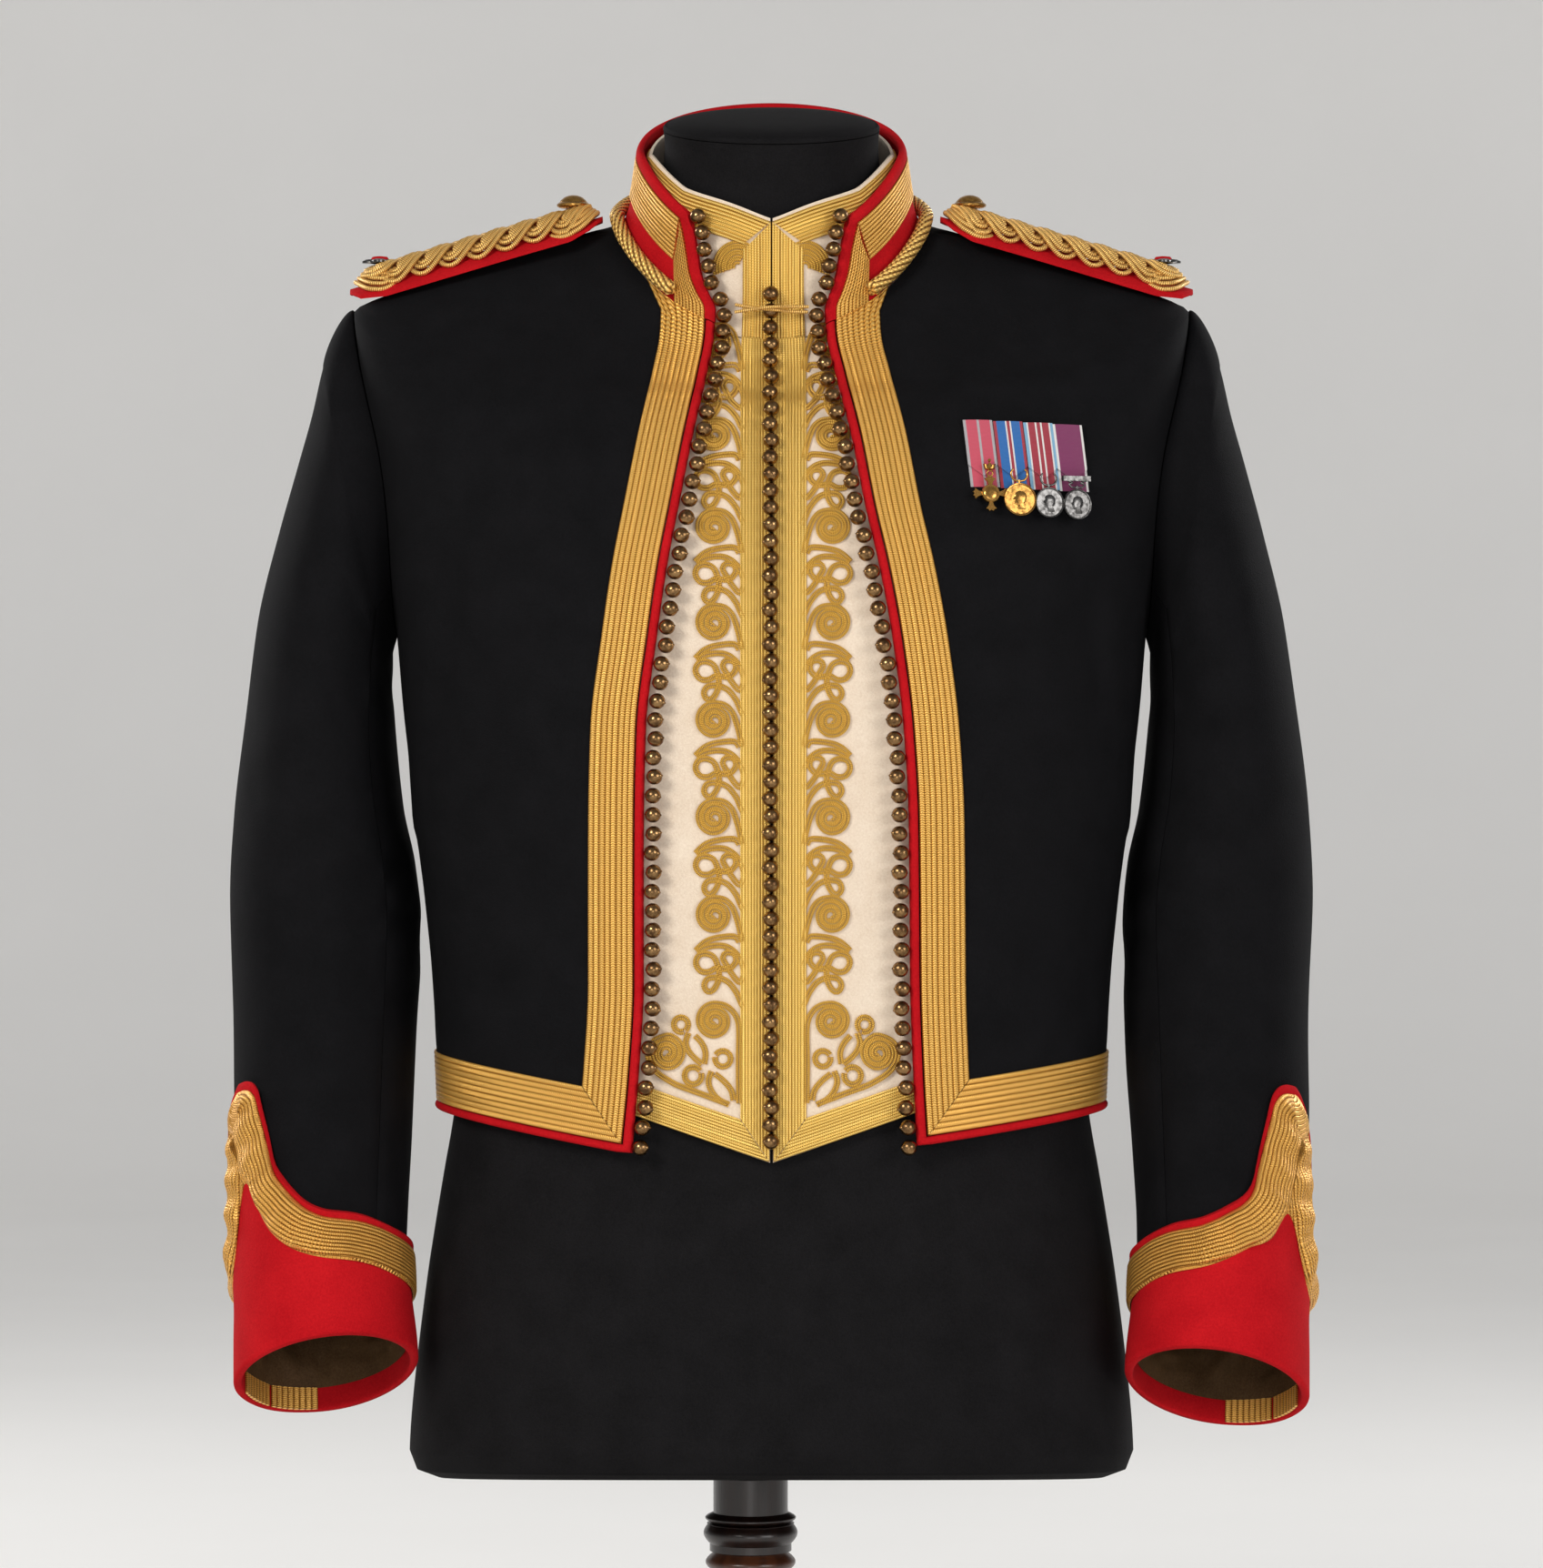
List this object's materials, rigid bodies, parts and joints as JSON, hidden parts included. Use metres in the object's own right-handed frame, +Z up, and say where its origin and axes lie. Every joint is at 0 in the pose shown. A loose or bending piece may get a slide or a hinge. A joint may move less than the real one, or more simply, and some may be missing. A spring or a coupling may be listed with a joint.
{
  "type": "mess dress jacket and waistcoat on a dress form with a stand",
  "caption": "Short black and scarlet mess dress jacket with gold lace, ball buttons, shoulder cords and miniature medals over its cream braided waistcoat, on a limbless dress form.",
  "frame": {"origin": "on the floor, on the underside of the base, under the middle of the form", "axes": "+Z up; the garment's front faces -Y; +X is the wearer's left"},
  "size_m": [0.596, 0.36, 1.0015],
  "materials": {
    "black_wool": "matte milled wool",
    "scarlet_wool": "matte milled wool",
    "gold_lace": "metallic thread lace, soft sheen",
    "gold_cord": "metallic gimp cord, soft sheen",
    "cream_wool": "matte smooth wool",
    "tan_lining": "satin lining",
    "dark_brass": "antique, polished on the crown",
    "gilt_metal": "polished gilt",
    "silver_metal": "satin silver",
    "ribbon_silk": "ribbed watered silk",
    "black_cotton": "matte cotton twill",
    "dark_wood": "dark stain, satin",
    "turned_wood": "brown stain, satin varnish"
  },
  "bodies": {
    "root": {"jacket_front_left": "black_wool", "jacket_back_left": "black_wool", "front_lace_left": "gold_lace", "hem_lace_left": "gold_lace", "jacket_edging_left": "scarlet_wool", "top_sleeve_left": "black_wool", "under_sleeve_left": "black_wool", "sleeve_lining_left": "tan_lining", "cuff_left": "scarlet_wool", "cuff_lace_left": "gold_lace", "waistcoat_front_left": "cream_wool", "waistcoat_hem_lace_left": "gold_lace", "waistcoat_centre_lace_left": "gold_lace", "waistcoat_braid_left": "gold_cord", "button_row_left": "dark_brass", "shoulder_backing_left": "scarlet_wool", "shoulder_plait_left": "gold_cord", "shoulder_button_left": "gilt_metal", "shoulder_star_left": "silver_metal", "jacket_front_right": "black_wool", "jacket_back_right": "black_wool", "front_lace_right": "gold_lace", "hem_lace_right": "gold_lace", "jacket_edging_right": "scarlet_wool", "top_sleeve_right": "black_wool", "under_sleeve_right": "black_wool", "sleeve_lining_right": "tan_lining", "cuff_right": "scarlet_wool", "cuff_lace_right": "gold_lace", "waistcoat_front_right": "cream_wool", "waistcoat_hem_lace_right": "gold_lace", "waistcoat_centre_lace_right": "gold_lace", "waistcoat_braid_right": "gold_cord", "button_row_right": "dark_brass", "shoulder_backing_right": "scarlet_wool", "shoulder_plait_right": "gold_cord", "shoulder_button_right": "gilt_metal", "shoulder_star_right": "silver_metal", "hem_lace_back": "gold_lace", "jacket_edging_back": "scarlet_wool", "jacket_collar": "scarlet_wool", "collar_lace": "gold_lace", "collar_cord": "gold_cord", "waistcoat_back": "cream_wool", "waistcoat_collar": "cream_wool", "waistcoat_collar_lace": "gold_lace", "button_row_centre": "dark_brass", "throat_cord": "gold_cord", "medal_ribbons": "ribbon_silk", "medal_1": "gilt_metal", "medal_2": "gilt_metal", "medal_3": "silver_metal", "medal_4": "silver_metal", "form_body": "black_cotton", "form_neck_cap": "black_cotton", "stand_neck": "dark_wood", "stand_post": "turned_wood", "stand_base": "turned_wood"}
  },
  "joints": []
}
